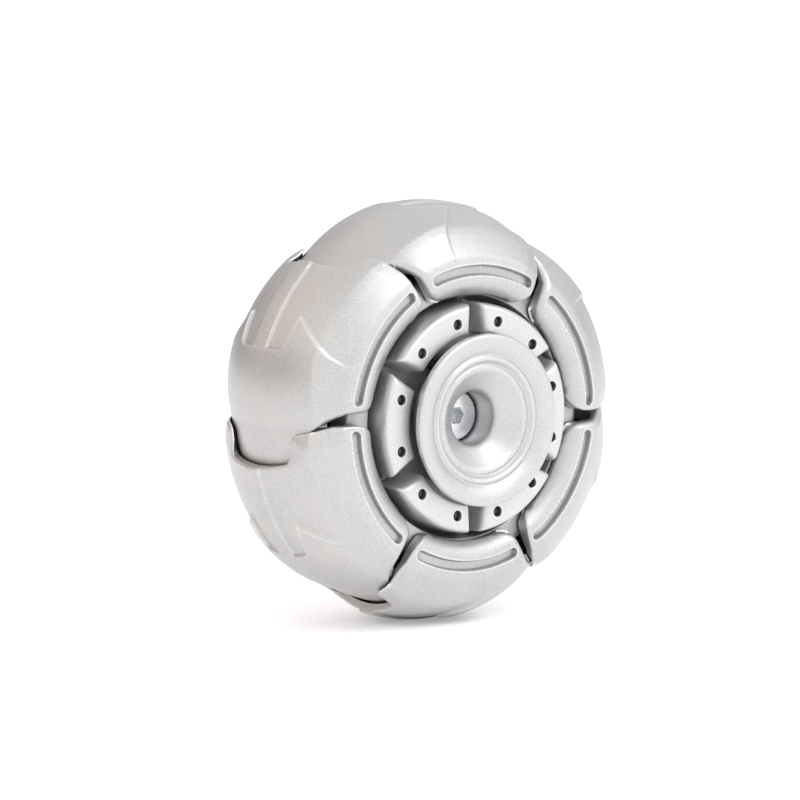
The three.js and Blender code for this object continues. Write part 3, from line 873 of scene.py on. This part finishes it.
    def inner(self, places):
        """The inner sheet's points."""
        radius, depth = self.sheet(places)
        return polar(radius, places[:, 0] / MM_PER_DEGREE, depth * -np.sign(places[:, 1]))

    def outline(self):
        """The skin's closed edge: the horn end, a lip, the tail end and the other lip."""
        sides = []
        for start, end in ((self.horn[-1], self.tail[-1]), (self.tail[0], self.horn[0])):
            share = np.linspace(0, 1, 60)[1:-1, None]
            sides.append(start + (end - start) * share)
        return np.concatenate([self.horn, sides[0], self.tail[::-1], sides[1]])

    def grid(self, rows, spacing, margin):
        """Places in staggered rows, at least a margin from both ends."""
        places = []
        for k, place in enumerate(rows):
            low, high = line_at(self.horn, place), line_at(self.tail, place)
            round_wheel = np.arange(low + spacing * (0.3 + 0.5 * (k % 2)), high, spacing)
            places += [(a, place) for a in round_wheel]
        places = np.array(places)
        to_horn, to_tail = self.edges(places)
        return places[np.minimum(to_horn, to_tail) > margin]

    def beside(self, line, offsets):
        """Places beside a line, at each offset to its right, kept off other parts of the ends."""
        way = np.gradient(line, axis=0)
        way /= np.linalg.norm(way, axis=1)[:, None]
        stretch = on_section(line[:, 1])[0] / FLAT_RADIUS
        normal = np.stack([way[:, 1] / stretch, -way[:, 0]], axis=-1)
        kept = []
        for offset in offsets:
            places = line + normal * offset
            around, place = places.T
            past_horn = around > line_at(self.horn, place)
            before_tail = around < line_at(self.tail, place)
            places = places[past_horn & before_tail & (np.abs(place) < LIP - 0.03)]
            nearest = np.minimum(*self.edges(places))
            least = 0.8 * abs(offset) if line is not self.step else 0.12
            kept.append(places[nearest > least])
        return np.concatenate(kept)

    def outer_places(self):
        """The outer sheet's places: dense by the ends, the rib, the step and the groove."""
        rings = (0.02, 0.05, 0.1, 0.17, 0.25, 0.36, 0.5, 0.68, 0.88, 1.1)
        tread = np.arange(0.21, TREAD_EDGE, 0.42)
        rib = np.array([on_tread(RIB)]) + (-0.16, -0.09, -0.03, 0.03, 0.09, 0.16)
        face = np.arange(TREAD_EDGE + 0.2, LIP - 0.05, 0.17)
        half = np.concatenate([tread[np.abs(tread - on_tread(RIB)) > 0.22], rib, face])
        rows = np.sort(np.concatenate([-half, half]))
        plain = np.concatenate([
            self.beside(self.horn, rings), self.beside(self.tail, [-ring for ring in rings]),
            self.beside(self.step, (-0.24, -0.16, -0.08, 0, 0.08, 0.16, 0.24)),
            self.grid(rows, 0.45, 1.25),
        ])
        plain = plain[self.to_groove(plain) > GROOVE_HALF + 0.2]
        return np.concatenate([plain, self.groove_places()])


def triangulated(outline, places):
    """A flat mesh over an outline, through places inside it, and its indices of the outline."""
    count = len(outline)
    corners = [Vector(spot) for spot in np.concatenate([outline, places])]
    ring = [(i, (i + 1) % count) for i in range(count)]
    spots, _, faces, sources, _, _ = delaunay_2d_cdt(corners, ring, [], 1, 1e-4)
    found = {source: index for index, group in enumerate(sources) for source in group}
    order = [found[i] for i in range(count)]
    return np.array([tuple(spot) for spot in spots]), [tuple(face) for face in faces], order


def shell_skin():
    """Vertices and faces of a shell's skin: an outer and an inner sheet and the wall between."""
    skin = Skin()
    outline = skin.outline()
    outer_flat, outer_faces, outer_ring = triangulated(outline, skin.outer_places())
    coarse = skin.grid(np.arange(-LIP + 0.9, LIP - 0.5, 1.1), 1.2, 0.8)
    inner_flat, inner_faces, inner_ring = triangulated(outline, coarse)
    points = np.concatenate([skin.outer(outer_flat), skin.inner(inner_flat)])
    offset = len(outer_flat)
    faces = outer_faces + [tuple(v + offset for v in face) for face in inner_faces]
    for i in range(len(outline)):
        k = (i + 1) % len(outline)
        faces.append((outer_ring[i], outer_ring[k], inner_ring[k] + offset, inner_ring[i] + offset))
    return points, faces


MAGNET_SPOT = flat_spot(MAGNET_CIRCLE, MAGNET_ANGLE)


def web_mesh():
    """The plate inside a shell, with the pivot hole, the stop's arc slot and the magnet's seat."""
    outline = [  # radius and angle
        (8.75, 9), (8.7, 15), (9.3, 22), (9.9, 32), (10.1, 45), (10.8, 52), (13, 52.5), (17, 51),
        (22.8, 54), (22.9, 45), (22.95, 35), (23.1, 25), (23.2, 18.5), (17, 13), (12.6, 8.5),
        (11, 6.5),
    ]
    flat = soften([(*flat_spot(radius, angle), 0.9) for radius, angle in outline], 5)
    middle = flat.mean(axis=0)
    bevel, shrunk = 0.3, 0.975
    loops = [at_depth(middle + (flat - middle) * size, y) for y, size in (
        (-WEB_HALF, shrunk), (-WEB_HALF + bevel, 1.0), (WEB_HALF - bevel, 1.0), (WEB_HALF, shrunk))]
    item = make_object("web", *lofted(loops))
    reach = WEB_HALF + 1
    hole = PIN_HOLE + SLOT_PLAY
    pivot = np.array(pin_spot(1, -1))
    combine(item, rod("drill", tuple(pivot), hole, -reach, reach, 40), "DIFFERENCE")
    combine(item, rod("drill", MAGNET_SPOT, MAGNET_SEAT, -reach, reach, 48), "DIFFERENCE")
    arm = np.array(pin_spot(0, 1)) - pivot
    swing = math.radians(SWING + 1)
    length, start = np.linalg.norm(arm), math.atan2(arm[1], arm[0])
    slot = slot_outline(pivot, length, start, swing, hole)
    loops = [at_depth(slot, y) for y in (-reach, reach)]
    combine(item, make_object("slot", *lofted(loops)), "DIFFERENCE")
    return item


def slot_outline(pivot, length, start, swing, half):
    """An arc slot round the pivot, from the stop pin's place at rest to its place when open."""
    def arc(centre, radius, angles):
        return [centre + radius * np.array((math.cos(a), math.sin(a))) for a in angles]

    steps = 12
    end = start - swing
    along = [start - swing * k / steps for k in range(steps + 1)]
    half_turn = [math.pi * k / steps for k in range(1, steps)]
    rest_spot, open_spot = arc(pivot, length, (start, end))
    return np.array(
        arc(pivot, length + half, along)
        + arc(open_spot, half, [end - a for a in half_turn])
        + arc(pivot, length - half, along[::-1])
        + arc(rest_spot, half, [start + math.pi - a for a in half_turn])
    )


def add_shells():
    skin = make_object("shell_blank", *shell_skin())
    combine(skin, web_mesh(), "UNION")
    mesh = skin.data
    bpy.data.objects.remove(skin)
    end = WEB_HALF - 0.2
    for k in range(SHELLS):
        body = f"shell_body_{k + 1}"
        item = place_data(f"shell_cast_{k + 1}", turn_mesh(mesh, k * PITCH))
        finish_piece(item, body, [f"shell_{k + 1}"], SILVER, 38)
        name = f"shell_magnet_plated_{k + 1}"
        magnet = rod(name, MAGNET_SPOT, MAGNET_RADIUS, -end, end, 64, 0.15)
        magnet.data.transform(Matrix.Rotation(-math.radians(k * PITCH), 4, "Y"))
        finish_piece(magnet, body, [f"shell_magnet_{k + 1}"], NICKEL, 35)


# ---- stage, lights and camera -------------------------------------------------------------


def add_stage():
    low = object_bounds()[0][2]
    half = 3.0  # metres
    corners = [(x * half, y * half, low) for x, y in ((-1, -1), (1, -1), (1, 1), (-1, 1))]
    mesh = bpy.data.meshes.new("floor")
    mesh.from_pydata(corners, [], [(0, 1, 2, 3)])
    floor = place_data("floor", mesh)
    n = Nodes("floor_white")
    n.link(n.mix(n.noise(40, 2.0), (0.92, 0.925, 0.935, 1.0), (0.945, 0.95, 0.96, 1.0)),
           n.shader.inputs["Base Color"])
    n.shader.inputs["Roughness"].default_value = 0.6
    n.shader.inputs["Emission Color"].default_value = (1.0, 1.0, 1.0, 1.0)
    n.shader.inputs["Emission Strength"].default_value = 0.27
    mesh.materials.append(n.material)


def add_light(name, place, size, power, colour):
    """A round lamp, turned to the wheel: place and size are in metres, power in watts."""
    lamp = bpy.data.lights.new(name, "AREA")
    lamp.shape = "DISK"
    lamp.size = size
    lamp.energy = power
    lamp.color = colour
    item = place_data(name, lamp)
    item.location = place
    item.rotation_euler = (-Vector(place)).to_track_quat("-Z", "Y").to_euler()


def add_world():
    """A white tent: a softbox at the front right, a panel at the left, and at the back left a dim
    wall with a warm glow above it."""
    world = bpy.data.worlds.new("studio")
    world.use_nodes = True
    bpy.context.scene.world = world
    n = Nodes(tree=world.node_tree)
    direction = n.tree.nodes.new("ShaderNodeTexCoord").outputs["Generated"]
    split = n.tree.nodes.new("ShaderNodeSeparateXYZ")
    n.link(direction, split.inputs["Vector"])
    east, north, up = split.outputs

    def towards(*way):
        """How far a direction points this way: 1 along it, 0 square to it."""
        parts = [n.math("MULTIPLY", part, share) for part, share in zip((east, north, up), way)]
        return n.math("ADD", n.math("ADD", parts[0], parts[1]), parts[2])

    tent = n.mix(n.spread(up, 0.0, 0.7), (0.70, 0.71, 0.735, 1.0), (1.0, 1.0, 1.01, 1.0))
    tent = n.mix(n.spread(north, -0.2, -0.75), tent, (1.28, 1.3, 1.32, 1.0))
    tent = n.mix(n.spread(towards(0.55, -0.62, 0.56), 0.85, 0.97), tent, (1.95, 1.95, 1.95, 1.0))
    tent = n.mix(n.spread(towards(-0.92, -0.1, 0.38), 0.76, 0.94), tent, (1.7, 1.64, 1.58, 1.0))
    behind = n.spread(towards(-0.66, 0.75, 0.0), 0.15, 0.75)
    wall = n.math("MULTIPLY", behind, n.spread(up, 0.9, 0.1))
    tent = n.mix(wall, tent, (0.29, 0.255, 0.26, 1.0))
    glow = n.spread(towards(-0.55, 0.6, 0.58), 0.83, 0.98)
    tent = n.mix(glow, tent, (1.2, 0.98, 0.84, 1.0))
    n.link(tent, n.tree.nodes["Background"].inputs["Color"])


def add_lights():
    add_world()
    add_light("key", (0.12, -0.42, 0.5), 0.45, 0.9, (1.0, 0.998, 0.99))


CAMERA_AZIMUTH = -37.75
CAMERA_ELEVATION = 6.9
CAMERA_DISTANCE = 500
FRAME_PIXELS = 800
PIXELS_PER_MM = 8.48  # at the wheel's centre
CENTRE_RIGHT = 18.2 / FRAME_PIXELS  # how far right of the frame's middle the wheel's centre lies
CENTRE_DOWN = 9.5 / FRAME_PIXELS


def add_camera():
    lens = bpy.data.cameras.new("camera")
    lens.sensor_width = 36
    lens.lens = PIXELS_PER_MM * CAMERA_DISTANCE / FRAME_PIXELS * lens.sensor_width
    lens.shift_x = -CENTRE_RIGHT
    lens.shift_y = CENTRE_DOWN
    lens.clip_start = 0.01
    camera = place_data("camera", lens)
    a, e = math.radians(CAMERA_AZIMUTH), math.radians(CAMERA_ELEVATION)
    back = Vector((math.sin(a) * math.cos(e), -math.cos(a) * math.cos(e), math.sin(e)))
    camera.location = back * CAMERA_DISTANCE * MM
    camera.rotation_euler = (-back).to_track_quat("-Z", "Y").to_euler()
    bpy.context.scene.camera = camera


bpy.context.scene.view_settings.view_transform = "Standard"
add_camera()
add_hub()
add_bearing()
add_wheel_body()
add_shells()
add_stage()
add_lights()
